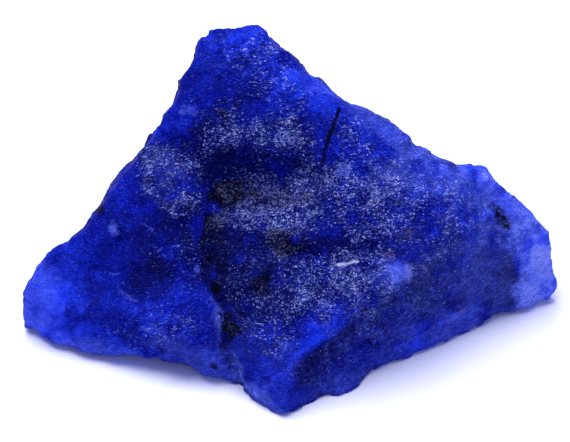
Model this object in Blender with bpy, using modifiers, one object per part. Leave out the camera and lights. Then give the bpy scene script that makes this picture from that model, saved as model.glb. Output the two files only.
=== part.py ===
"""Rough sapphire: one broken lump of granular blue stone, lying on a small flat patch."""
import math

import bmesh
import bpy
from mathutils import Matrix, Vector, geometry, noise

MM = 0.001
LENGTH = 77 * MM
DEPTH = 50 * MM
HEIGHT = 36 * MM
VIEW_TILT = math.radians(45)
BLUE = (0.017, 0.028, 0.32, 1.0)

# The front is described by its break lines, the edges and hollows where the broken faces meet.
# Each point is a place on the stone in millimetres: how far right of the middle, how far up
# it looks from 45 degrees above, and how high it lies over the table.
CREST = (
    (-38.5, -4.8, 2), (-38.7, -2, 5), (-37.4, 1, 9), (-35.8, 3, 10.5), (-34, 5, 12), (-32, 6.8, 13.5),
    (-29.8, 8, 15), (-27.4, 10.7, 17), (-25, 14.6, 19.5), (-22.8, 18, 21.5), (-20.7, 19.6, 23),
    (-18.8, 22.6, 24.5), (-17.5, 25, 26.5), (-16.1, 27.5, 28.5), (-14.6, 31, 30.5), (-12.7, 35, 33),
    (-11.5, 37.8, 34.8), (-9, 38.2, 35.8), (-6, 39, 36.4), (-4.3, 38.5, 35.9), (-1.8, 35.2, 34),
    (0, 34.7, 34), (1.5, 33.3, 33), (2.5, 31.7, 32.3), (4, 31, 32), (6, 29.3, 31.3), (8.5, 27.3, 30.3),
    (11.5, 26.2, 29), (14.5, 24.7, 27.5), (16, 22.8, 26), (18, 21, 25), (20, 20.5, 24.3), (22, 19, 23.3),
    (24.5, 18.6, 22.5), (27.5, 18.5, 21.5), (29.2, 17.3, 20.5), (30.8, 15.4, 19), (33.8, 12.8, 16.5),
    (36.6, 10.1, 13.5), (38.1, 7, 10.5), (39.1, 4.5, 7),
)
RIGHT_FOOT = (
    (39.1, 4.5, 7), (39.6, 1.5, 3.5), (39, 0, 2.5), (36.2, -1.4, 1.8), (33.5, -3, 1.2), (31.5, -3.8, 0.8),
    (29, -4, 0.6), (26, -5.5, 0.5), (23, -7.1, 0.5), (20, -8.5, 0.4), (17, -9.4, 0.4), (12.7, -10.9, 0.4),
    (10.3, -13.4, 0.4), (8, -14.6, 0.4), (5.5, -15.2, 0.4), (3, -15.9, 0.4), (1, -17, 0.5), (0, -17.6, 0.6),
)
LEFT_FOOT = (
    (0, -17.6, 0.6), (-1.3, -17.5, 0.7), (-3, -16.3, 0.8), (-4.8, -14.9, 1), (-6.8, -13.2, 1), (-9, -12.7, 1),
    (-12, -11.4, 1.6), (-15, -9.9, 2.8), (-18, -9, 3.8), (-22, -8.9, 3.2), (-26, -8.8, 2.4),
    (-30, -8.5, 2), (-34.2, -7.3, 1.8), (-38.5, -4.8, 2),
)
NOSE_RIDGE = (
    (-0.5, -16.2, 2.4), (0.3, -13, 5), (2, -10, 7.5), (4, -7.3, 9.5), (7, -5, 11.5), (8.5, -2.7, 13),
    (11, -1, 14), (14, 0.2, 14.8), (17.3, 2.4, 16), (16.8, 4.8, 17),
)
NOSE_STRIP = ((-0.5, -16.2, 2.4), (-2.3, -15.2, 2.4), (-4.2, -13, 3.4), (-6, -10.7, 5), (-7.3, -8.7, 6.5))
WALL_TOP = (
    (17.3, 2.4, 16), (20.3, 4.6, 16.3), (23.5, 6, 16), (26, 6.7, 15.6), (29, 7.7, 15.4), (31.5, 9, 15.3),
    (33.5, 11, 16),
)
WALL_SPLIT = ((17.3, 2.4, 16), (16.3, -1.6, 11), (14.3, -5.9, 6.5), (13, -9.6, 1.4))
WALL_LEFT = ((6.7, -9.7, 5), (10.6, -6.6, 7.5))
WALL_RIGHT = ((20.6, -1.6, 8.6), (25, 0.6, 9.2), (29, 1.7, 8.4))
END_EDGE = ((33.5, 11, 16), (33.3, 6, 11.5), (33.2, 2, 7), (32.3, -1.8, 2.6))
CRACK = (
    (-11, 12, 18), (-11.2, 8, 15.8), (-11.3, 4, 13), (-10.5, 0.5, 11), (-9, -2.5, 8.6), (-8.2, -5, 6.8),
    (-8.4, -7.3, 5.2), (-8.4, -9.7, 3.6), (-7.4, -12.2, 1.8),
)
CRACK_LIP = (
    (-13, 4.5, 14.5), (-12.4, 2, 13.3), (-11.6, -0.4, 12.2), (-10.1, -2.1, 11.2), (-9.2, -4, 10.2),
    (-9, -6.2, 8.2), (-9.2, -8.3, 6.3), (-8.1, -11.2, 3),
)
LOBE_EDGE = ((-17, -8.2, 5.3), (-14, -8, 6), (-11.5, -7.9, 6.3), (-9.2, -8.3, 6.3))
SHOULDER = (
    (-15.5, 24, 26.7), (-14.7, 20, 24.3), (-13, 16.7, 22.3), (-12, 14, 20.6), (-12.7, 10, 18), (-13, 4.5, 14.5),
)
BENCH_BACK = (
    (-15, 26, 28.2), (-11.7, 25.4, 28.1), (-8, 25, 27.8), (-3.7, 24.5, 27.2), (0.3, 23.5, 26.4),
    (3.4, 21, 24.8), (5, 17.7, 22.7),
)
BENCH_BRINK = ((-13.4, 21.6, 26), (-9, 21.3, 26), (-4, 20.8, 25.5), (0.5, 19.5, 24.3))
SCOOP_FLOOR = ((-11, 16, 20), (-7.5, 15.7, 18.7), (-3.7, 15.5, 18.4), (0.6, 15.8, 20), (4.9, 14.3, 21))
LEDGE_TOP = (
    (-3.7, 8.9, 16.5), (-0.4, 8.6, 17.2), (4, 8.9, 18.6), (8.6, 8.9, 19.2), (14, 8, 19), (19.6, 7.3, 18.3),
    (24.6, 8.4, 17.7),
)
LEDGE_FOOT = ((-5.4, 6, 14.8), (-1, 5.7, 15), (3.4, 5.9, 16), (8, 5.4, 16.8), (13, 4.9, 16.8), (16.8, 4.8, 17))
VALLEY = ((-8, 9.4, 16.6), (-8.6, 5.6, 14.2), (-8, 1.3, 11.8))
BREAK_LINES = (
    CREST, RIGHT_FOOT, LEFT_FOOT, NOSE_RIDGE, NOSE_STRIP, WALL_TOP, WALL_SPLIT, WALL_LEFT, WALL_RIGHT, END_EDGE,
    CRACK, CRACK_LIP, LOBE_EDGE, SHOULDER, BENCH_BACK, BENCH_BRINK, SCOOP_FLOOR, LEDGE_TOP, LEDGE_FOOT, VALLEY,
)

# Single high and low spots inside the broken faces.
PEAK_SPOTS = (
    (-10.4, 33.4, 32.6), (-6, 34.5, 34), (-7.6, 29.4, 30.1), (-12, 29.4, 30.4), (-3, 31.6, 32.6), (-2, 27.7, 29.3),
    (1.7, 26.6, 28.9), (5.3, 25, 28.1),
)
RIGHT_SPOTS = (
    (8, 22, 26.4), (11.7, 21.7, 26.5), (9, 17.4, 23.6), (15.3, 18.4, 24.4), (19.6, 16.6, 23.1), (14, 13.4, 22),
    (24, 14.9, 21.6),
)
PLATEAU_SPOTS = (
    (7.4, 10.5, 20), (12.4, 9.6, 19.9), (17.4, 10.3, 20.2), (23, 11.3, 19.7), (28, 13.4, 19.4), (30.7, 11.7, 18),
    (33, 12.2, 17.6),
)
LEFT_SPOTS = (
    (-18.3, 18.5, 23.8), (-17.5, 14, 21.4), (-19.5, 10, 18.5), (-16, 7.5, 17), (-25, 9, 17), (-22.5, 4, 14),
    (-28, 2, 11.3), (-34, -1, 8), (-24, -2.5, 9.5), (-17.5, 0.5, 12), (-17, -4.5, 9), (-29.5, -4.5, 6),
)
NOSE_SPOTS = (
    (-5, 0.3, 12.2), (-1, 1.7, 13.1), (3.4, 2.3, 14.6), (8, 1.6, 15.2), (12, 1.5, 15.4), (-3.7, -3.4, 9.9),
    (1, -2.6, 12), (5, -2.6, 12.4), (-5.4, -7.3, 7.5), (-1.9, -8, 7.3), (1.1, -6.6, 9), (-2.9, -11.6, 4.6),
    (36.4, 4.6, 8),
)
SPOTS = PEAK_SPOTS + RIGHT_SPOTS + PLATEAU_SPOTS + LEFT_SPOTS + NOSE_SPOTS

# Corners of the back and the underside, in millimetres: right, away from the viewer, up.
BACK_CORNERS = (
    (-7, 22, 27), (-2, 25, 13), (6, 22, 24), (13, 18, 16), (24, 12, 12), (32, 7, 6), (-18, 16, 15), (-28, 5, 8),
    (-33, 0, 4),
)
UNDERSIDE_CORNERS = (
    (-9, -10, 0), (0, -18, 0), (10, -13, 0), (20, -5, 0), (18, 5, 0), (2, 10, 0), (-8, 4, 0), (30, 3, 2),
    (20, 14, 2), (6, 23, 2.5), (-4, 24, 2.5), (-16, 16, 2.5), (-27, 5, 2.5), (-30, -7, 1.6),
)

# Relief inside the faces: the spacing of the features, and how far they rise, sink or tilt.
SWELL_SPACING = 13 * MM
SWELL_RISE = 0.35 * MM
SCALLOP_SPACING = 7 * MM
SCALLOP_DEPTH = 1.0 * MM
SCALLOP_EDGE = 0.15
CHIP_SPACING = 4.5 * MM
CHIP_TILT = 0.2
CHIP_VARIETY = 3.7
SEED = 11
FINE_GRID = 0.6 * MM
TRIANGLES = 8800
REST_CUT = 0.65 * MM
SWEEP = 90 * MM


def viewed(across, up, height):
    """A place on the front, from what the view shows and its height over the table."""
    away = (up - height * math.cos(VIEW_TILT)) / math.sin(VIEW_TILT)
    return Vector((across, away, height)) * MM


def in_view(point):
    """Where a point lies across and up the view."""
    return Vector((point.x, point.y * math.sin(VIEW_TILT) + point.z * math.cos(VIEW_TILT)))


def sight():
    """The direction from the viewer into the stone."""
    return Vector((0, math.cos(VIEW_TILT), -math.sin(VIEW_TILT)))


def collection(name):
    made = bpy.data.collections.new(name)
    bpy.context.scene.collection.children.link(made)
    return made


def solid_object(name, shape, where):
    bmesh.ops.recalc_face_normals(shape, faces=shape.faces)
    mesh = bpy.data.meshes.new(name)
    shape.to_mesh(mesh)
    shape.free()
    made = bpy.data.objects.new(name, mesh)
    where.objects.link(made)
    return made


def helper(made):
    made.hide_render = True
    made.display_type = "WIRE"
    return made


def front_solid(name, where):
    """The front skin stretched over its break lines, and swept away from the viewer into a solid."""
    order = {}
    edges = []
    for line in BREAK_LINES:
        marks = [order.setdefault(place, len(order)) for place in line]
        edges += zip(marks, marks[1:])
    for place in SPOTS:
        order.setdefault(place, len(order))
    points = [viewed(*place) for place in order]
    skin = geometry.delaunay_2d_cdt([in_view(point) for point in points], edges, [], 1, 1e-7)
    if len(skin[0]) != len(points):
        raise ValueError("two break lines cross")
    shape = bmesh.new()
    corners = [shape.verts.new(points[origin[0]]) for origin in skin[3]]
    for face in skin[2]:
        shape.faces.new([corners[index] for index in face])
    swept = bmesh.ops.extrude_face_region(shape, geom=shape.faces[:], use_keep_orig=True)
    moved = [item for item in swept["geom"] if isinstance(item, bmesh.types.BMVert)]
    bmesh.ops.translate(shape, verts=moved, vec=sight() * SWEEP)
    return solid_object(name, shape, where)


def outer_block(where):
    """The back and underside as one convex block, open toward the viewer as far as the front needs."""
    outline = [viewed(*place) for place in CREST + RIGHT_FOOT + LEFT_FOOT]
    near = [point - sight() * SWEEP / 2 for point in outline]
    back = [Vector(corner) * MM for corner in BACK_CORNERS + UNDERSIDE_CORNERS]
    shape = bmesh.new()
    for point in outline + near + back:
        shape.verts.new(point)
    found = bmesh.ops.convex_hull(shape, input=shape.verts)
    inner = [item for item in found["geom_interior"] if isinstance(item, bmesh.types.BMVert)]
    bmesh.ops.delete(shape, geom=inner, context="VERTS")
    return helper(solid_object("outer_block", shape, where))


def boolean(target, other, operation):
    step = target.modifiers.new(other.name, "BOOLEAN")
    step.operation = operation
    step.object = other


def apply_modifiers(made):
    graph = bpy.context.evaluated_depsgraph_get()
    mesh = bpy.data.meshes.new_from_object(made.evaluated_get(graph))
    made.modifiers.clear()
    made.data = mesh


def refine(made):
    """An even fine mesh over the coarse faces, for the relief to move."""
    step = made.modifiers.new("refine", "REMESH")
    step.mode = "VOXEL"
    step.voxel_size = FINE_GRID
    apply_modifiers(made)


def relief_height(place):
    """Broad swells, and the scalloped hollows between sharp little ridges."""
    swell = noise.noise(place / SWELL_SPACING) * SWELL_RISE
    scallop = (SCALLOP_EDGE - abs(noise.noise(place / SCALLOP_SPACING))) * SCALLOP_DEPTH
    return swell + scallop


def chip_height(place):
    """The chips: each cell of a broken pattern is a plane, tilted its own way."""
    centre = noise.voronoi(place / CHIP_SPACING)[1][0]
    slope = noise.noise_vector(centre * CHIP_VARIETY)
    return (place / CHIP_SPACING - centre).dot(slope) * CHIP_SPACING * CHIP_TILT


def roughen(made):
    """Swells, scalloped hollows and flat chips, raised along the surface's own direction."""
    noise.seed_set(SEED)
    normals = [vertex.normal.copy() for vertex in made.data.vertices]
    for vertex, normal in zip(made.data.vertices, normals):
        place = vertex.co.copy()
        vertex.co += normal * (relief_height(place) + chip_height(place))


def simplify(made):
    """Fewer, larger triangles, which keep the edges."""
    made.data.update()
    step = made.modifiers.new("simplify", "DECIMATE")
    step.ratio = TRIANGLES / sum(len(face.vertices) - 2 for face in made.data.polygons)
    apply_modifiers(made)


def cut_rest(made, where):
    """The small flat patch that the stone lies on."""
    lowest = min(vertex.co.z for vertex in made.data.vertices)
    shape = bmesh.new()
    size = Matrix.Diagonal((2 * LENGTH, 2 * DEPTH, HEIGHT, 1))
    place = Matrix.Translation((0, 0, lowest + REST_CUT - HEIGHT / 2))
    bmesh.ops.create_cube(shape, size=1, matrix=place @ size)
    boolean(made, helper(solid_object("rest_cutter", shape, where)), "DIFFERENCE")
    apply_modifiers(made)


def centre(made):
    """The origin goes to the middle of the box, at the rest."""
    corners = [vertex.co for vertex in made.data.vertices]
    low = [min(corner[axis] for corner in corners) for axis in range(3)]
    high = [max(corner[axis] for corner in corners) for axis in range(3)]
    made.data.transform(Matrix.Translation((-(low[0] + high[0]) / 2, -(low[1] + high[1]) / 2, -low[2])))


def stone_material():
    made = bpy.data.materials.new("blue_stone")
    made.use_nodes = True
    shader = made.node_tree.nodes["Principled BSDF"]
    shader.inputs["Base Color"].default_value = BLUE
    shader.inputs["Roughness"].default_value = 0.42
    shader.inputs["Metallic"].default_value = 0.0
    return made


def build():
    for old in list(bpy.data.objects):
        bpy.data.objects.remove(old, do_unlink=True)
    parts = collection("rough_sapphire_stone")
    cutters = collection("cutters")
    stone = front_solid("rough_sapphire", parts)
    boolean(stone, outer_block(cutters), "INTERSECT")
    refine(stone)
    roughen(stone)
    simplify(stone)
    cut_rest(stone, cutters)
    centre(stone)
    stone.data.materials.clear()
    stone.data.materials.append(stone_material())


build()
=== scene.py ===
# %% [markdown]
# # A rough sapphire, from a plain solid to a broken, sugary stone
#
# The solid that comes from CAD already has the stone's real size and its main forms: the peak,
# the scoop under it, the crack, the nose and the wall on the right, dark partly with painted shade.
# This lesson gives that solid the looks of the real thing. It refines the surface, works out where
# the stone is dark, frosted or milky and where painted shade, light and glints lie, breaks it up
# with a Geometry Nodes group, and mixes one material from that.

# %% Load the frame
import math

import bmesh
import bpy
import numpy as np
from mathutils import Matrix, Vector, bvhtree, noise


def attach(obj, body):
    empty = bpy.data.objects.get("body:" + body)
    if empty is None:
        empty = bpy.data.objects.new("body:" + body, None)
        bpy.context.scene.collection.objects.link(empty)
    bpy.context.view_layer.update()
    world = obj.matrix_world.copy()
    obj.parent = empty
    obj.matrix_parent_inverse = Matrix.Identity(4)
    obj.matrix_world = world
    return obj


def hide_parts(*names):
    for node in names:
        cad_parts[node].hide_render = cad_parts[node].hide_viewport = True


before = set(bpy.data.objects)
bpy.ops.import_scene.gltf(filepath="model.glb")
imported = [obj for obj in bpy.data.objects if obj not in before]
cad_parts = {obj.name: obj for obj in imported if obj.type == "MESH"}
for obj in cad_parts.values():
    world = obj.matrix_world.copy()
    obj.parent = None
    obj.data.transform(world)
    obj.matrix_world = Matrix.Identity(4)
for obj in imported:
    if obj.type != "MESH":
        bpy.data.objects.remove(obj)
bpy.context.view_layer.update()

# %% [markdown]
# ## Sizes and the view
#
# The photo looks down on the stone at 45 degrees from far off. Two measures say where a thing is
# in that view: how far right of the middle it lies, and how far up. Both are in millimetres,
# and 7 pixels of the photo make 1 mm. Every mark below is placed by these two measures. The marks
# could be placed in space instead, but then their depth would have to be guessed one by one.

# %% Name the sizes and the view
MM = 0.001
NODE = "rough_sapphire"
VIEW_TILT = math.radians(45)
VIEW_RIGHT = Vector((1, 0, 0))
VIEW_UP = Vector((0, math.sin(VIEW_TILT), math.cos(VIEW_TILT)))
SIGHT = Vector((0, math.cos(VIEW_TILT), -math.sin(VIEW_TILT)))
VIEW_MIDDLE = Vector((-0.91, -1.35, 16.04)) * MM
MIDDLE_ACROSS = -0.43
MIDDLE_UP = 10.43


def in_space(across, up, depth=0.0):
    """The point in space that the view shows at this place, on the plane through its middle."""
    right = VIEW_RIGHT * (across - MIDDLE_ACROSS) * MM
    rise = VIEW_UP * (up - MIDDLE_UP) * MM
    return VIEW_MIDDLE + right + rise + SIGHT * depth


print("the view tilts down by", round(math.degrees(VIEW_TILT)), "degrees")

# %% Place the camera
CAMERA_DISTANCE = 800 * MM
CAMERA_LENS = 353.7
SENSOR_WIDTH = 36
CAMERA_NEAR = 10 * MM
CAMERA_FAR = 10


def make_camera():
    camera = bpy.data.objects.new("camera", bpy.data.cameras.new("camera"))
    bpy.context.scene.collection.objects.link(camera)
    camera.location = VIEW_MIDDLE - SIGHT * CAMERA_DISTANCE
    camera.rotation_mode = "QUATERNION"
    camera.rotation_quaternion = SIGHT.to_track_quat("-Z", "Y")
    camera.data.lens = CAMERA_LENS
    camera.data.sensor_width = SENSOR_WIDTH
    camera.data.clip_start = CAMERA_NEAR
    camera.data.clip_end = CAMERA_FAR
    bpy.context.scene.camera = camera


make_camera()
print("the camera is", round(CAMERA_DISTANCE * 1000), "mm from the stone")

# %% [markdown]
# ## Refine the surface
#
# The real stone is uneven down to its grains, and the solid has a few thousand flat triangles.
# It could be subdivided, but its triangles are long and thin in places, and their pattern would
# show. So a copy of it is merged and remeshed on a fine even grid, which gives the relief points
# to move. The grid leaves small steps, so it is smoothed. Each point is then pulled 0.6 of
# the way back to the solid, which keeps the broken edges crisp.

# %% Copy the solid
MERGE_DISTANCE = 0.001 * MM


def copied_mesh(node):
    """A copy of the solid's mesh with its doubled points merged. The solid itself isn't touched."""
    shape = bmesh.new()
    shape.from_mesh(node.data)
    bmesh.ops.remove_doubles(shape, verts=shape.verts, dist=MERGE_DISTANCE)
    mesh = bpy.data.meshes.new("stone")
    shape.to_mesh(mesh)
    shape.free()
    mesh.materials.clear()
    return mesh


stone = bpy.data.objects.new("stone", copied_mesh(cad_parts[NODE]))
bpy.context.scene.collection.objects.link(stone)
print("the copied solid has", len(stone.data.polygons), "faces")

# %% Remesh the copy
GRID = 0.37 * MM
GRID_SMOOTHING = 10
SMOOTH_SHARE = 0.5
FIRM_SHARE = 0.6


def settle(piece):
    """Turns the modifiers' result into a plain mesh."""
    graph = bpy.context.evaluated_depsgraph_get()
    mesh = bpy.data.meshes.new_from_object(piece.evaluated_get(graph))
    piece.modifiers.clear()
    piece.data = mesh


def tree_of(piece):
    """The piece's faces, sorted so that a ray or a nearest point is found fast."""
    corners = [vertex.co.copy() for vertex in piece.data.vertices]
    faces = [tuple(face.vertices) for face in piece.data.polygons]
    return bvhtree.BVHTree.FromPolygons(corners, faces)


def add_smoothing(piece, steps):
    smooth = piece.modifiers.new("smooth", "SMOOTH")
    smooth.iterations = steps
    smooth.factor = SMOOTH_SHARE


def refine(piece):
    solid = tree_of(piece)
    grid = piece.modifiers.new("grid", "REMESH")
    grid.mode = "VOXEL"
    grid.voxel_size = GRID
    add_smoothing(piece, GRID_SMOOTHING)
    settle(piece)
    for vertex in piece.data.vertices:
        vertex.co = vertex.co.lerp(solid.find_nearest(vertex.co)[0], FIRM_SHARE)
    piece.data.update()


refine(stone)
print("the refined stone has", len(stone.data.polygons), "faces")

# %% [markdown]
# ## Where things are on the front
#
# A place in the view has to become a point on the stone. A ray from the viewer finds it: the point
# where the ray first meets the surface is the one that the photo shows there.

# %% Find points through the view
tree = tree_of(stone)


def on_stone(across, up):
    """The point of the stone that the view shows at this place."""
    start = in_space(across, up, -CAMERA_DISTANCE / 2)
    hit = tree.ray_cast(start, SIGHT)[0]
    if hit is None:
        hit = tree.find_nearest(in_space(across, up))[0]
    return hit


def view_places(points):
    """Each point's place in the view, across and up, and its depth, all in millimetres."""
    away = (points - np.array(VIEW_MIDDLE)) / MM
    across = away @ np.array(VIEW_RIGHT) + MIDDLE_ACROSS
    up = away @ np.array(VIEW_UP) + MIDDLE_UP
    return across, up, away @ np.array(SIGHT)


def depth_at(across, up):
    """The depth of the stone's surface at this place in the view."""
    return view_places(np.array([on_stone(across, up)]))[2][0]


print("a ray finds the peak at", [round(value * 1000, 1) for value in on_stone(-6, 34)], "mm")

# %% [markdown]
# ## Patches and lines
#
# The stone's marks lie in a grainy mass, so their edges are soft and frayed. They could be painted
# on an image, but here each is a patch or a line with a place, a size and a strength, which can be
# read, moved and made stronger one by one. A patch is a soft ellipse that also fades with depth, so
# it doesn't reach round to the back, and two noises of different size fray its edge.

# %% Fray an edge with noises
# Each noise's spacing in millimetres, and its seed.
NOISES = {
    "ragged": (1.6, 1),
    "ragged and fine": (0.8, 2),
    "broad": (5, 3),
    "drift": (9, 5),
    "spots": (2.2, 6),
    "slow": (3.5, 7),
}
SEED_SHIFT = (7.3, 1.9, 0)
RAGGED_SHARE = 0.6


def values_of(piece, name):
    """The points' places or normals, one row for each point."""
    flat = np.empty(len(piece.data.vertices) * 3)
    piece.data.vertices.foreach_get(name, flat)
    return flat.reshape(-1, 3)


def wobble(points, name):
    """A soft noise from -1 to 1 at every point."""
    spacing, seed = NOISES[name]
    offset = Vector([seed * shift for shift in SEED_SHIFT])
    scale = 1 / (spacing * MM)
    return np.array([noise.noise(Vector(point) * scale + offset) for point in points])


def frayed(points):
    """The noise that frays the edges: a coarse one with a finer one in it."""
    coarse = wobble(points, "ragged") * RAGGED_SHARE
    return coarse + wobble(points, "ragged and fine") * (1 - RAGGED_SHARE)


print("edges are frayed by noises of", NOISES["ragged"][0], "and", NOISES["ragged and fine"][0], "mm")

# %% Draw patches and lines
PATCH_DEEP = 0.9
PATCH_DEEP_MORE = 0.5
SLOW_FROM = 5
LINE_DEEP = 3
LINE_REACH = 1.5
LINE_RAGGED = 0.4


class Places:
    """The stone's points, with the measures that every patch and line uses."""

    def __init__(self, piece):
        self.points = values_of(piece, "co")
        self.across, self.up, self.depth = view_places(self.points)
        self.ragged = frayed(self.points)
        self.slow = wobble(self.points, "slow")
        self.broad = wobble(self.points, "broad")

    def patch(self, across, up, long, wide, turn, ragged, soft):
        """How much each point lies in a patch, which is turned anticlockwise in degrees."""
        angle = math.radians(turn)
        right = self.across - across
        rise = self.up - up
        along = (right * math.cos(angle) + rise * math.sin(angle)) / (long / 2)
        over = (rise * math.cos(angle) - right * math.sin(angle)) / (wide / 2)
        reach = max(long, wide) * PATCH_DEEP + PATCH_DEEP_MORE
        behind = (self.depth - depth_at(across, up)) / reach
        away = np.sqrt(along**2 + over**2 + behind**2)
        away = away - ragged * (self.ragged + self.slow * min(1, wide / SLOW_FROM))
        return np.clip((1 - away) / soft + 0.5, 0, 1)

    def line(self, route, wide, ragged=LINE_RAGGED):
        """How much each point lies on a line through these places, which fades past its width."""
        best = np.full(len(self.points), np.inf)
        for (x0, y0), (x1, y1) in zip(route, route[1:]):
            step = np.array((x1 - x0, y1 - y0))
            share = ((self.across - x0) * step[0] + (self.up - y0) * step[1]) / (step @ step)
            share = np.clip(share, 0, 1)
            away = np.hypot(self.across - x0 - share * step[0], self.up - y0 - share * step[1])
            middle = depth_at((x0 + x1) / 2, (y0 + y1) / 2)
            away = away + np.maximum(0, np.abs(self.depth - middle) - LINE_DEEP)
            best = np.minimum(best, away)
        return np.clip(LINE_REACH - best / (wide / 2) + ragged * self.ragged, 0, 1)


print("a line ends", LINE_REACH, "half widths from its middle")

# %% [markdown]
# ## Carve the crack and lift the crests
#
# The real crack is a narrow cleft with its left lip standing up. The remeshed grid can only hold
# a soft copy of it, so it is carved deeper along its route. The outline on the left lay a few
# pixels too low beside the photo, so the crests there are lifted. All of this is done in the mesh,
# along the normals, before the small relief goes over it.

# %% Carve and lift
CRACK = (
    (-11.3, 11), (-11.4, 8), (-11.3, 4.5), (-11.6, 2.6), (-10.7, 0.6), (-9.6, -1.4), (-8.7, -3.2),
    (-8.5, -5.2), (-8.9, -7.2), (-8.5, -9.3), (-7.6, -11.4), (-6.9, -13.2),
)
CRACK_DEEP = 0.9
CRACK_WIDE = 0.9
LIP = ((-12.5, 2), (-11.6, 0), (-10.4, -1.8), (-9.6, -3.6), (-9.4, -6.2), (-9.5, -8.2))
LIP_RISE = 0.35
LIP_WIDE = 1.2
# Each crest's rise in millimetres, and its route.
CRESTS = {
    "left crest": (
        0.45, ((-36.5, 1), (-33, 5.8), (-29.7, 8.6), (-26.5, 12.8), (-23, 18.2), (-19.6, 22), (-18, 24.5)),
    ),
    "lobe's crest": (0.4, ((-36.6, 0.5), (-35.6, 3), (-34, 5), (-31, 7))),
    "peak's left flank": (0.15, ((-16.6, 28), (-15, 31), (-13, 34.5))),
    "peak's left corner": (0.65, ((-12, 36), (-10.6, 37.4))),
}
CREST_WIDE = 4
CREST_RAGGED = 0


def put_points(piece, points):
    piece.data.vertices.foreach_set("co", points.ravel())
    piece.data.update()


def carve(piece):
    places = Places(piece)
    height = -CRACK_DEEP * places.line(CRACK, CRACK_WIDE)
    height = height + LIP_RISE * places.line(LIP, LIP_WIDE)
    for rise, route in CRESTS.values():
        height = height + rise * places.line(route, CREST_WIDE, CREST_RAGGED)
    put_points(piece, places.points + values_of(piece, "normal") * height[:, None] * MM)


carve(stone)
print("the crack is carved", CRACK_DEEP, "mm deeper, and", len(CRESTS), "crests are lifted")

# %% [markdown]
# ## What the stone is like, place by place
#
# The stone isn't one even blue. It is darker in the scoop, the valley and on the right wall,
# partly with painted shade where they face away from the light, brighter on the lobe's tip and
# the thin rims on the right with painted light, glinting with painted glints where its grains
# catch the light, black at its inclusions, and milky at the right end. All of that could come
# from one noise, but then nothing would lie where it does on the real stone. So named patches say
# how much of each there is and where, and noise only frays and mixes them. A patch is given by its
# place across and up, its length, its width, its turn in degrees and its strength.

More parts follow.
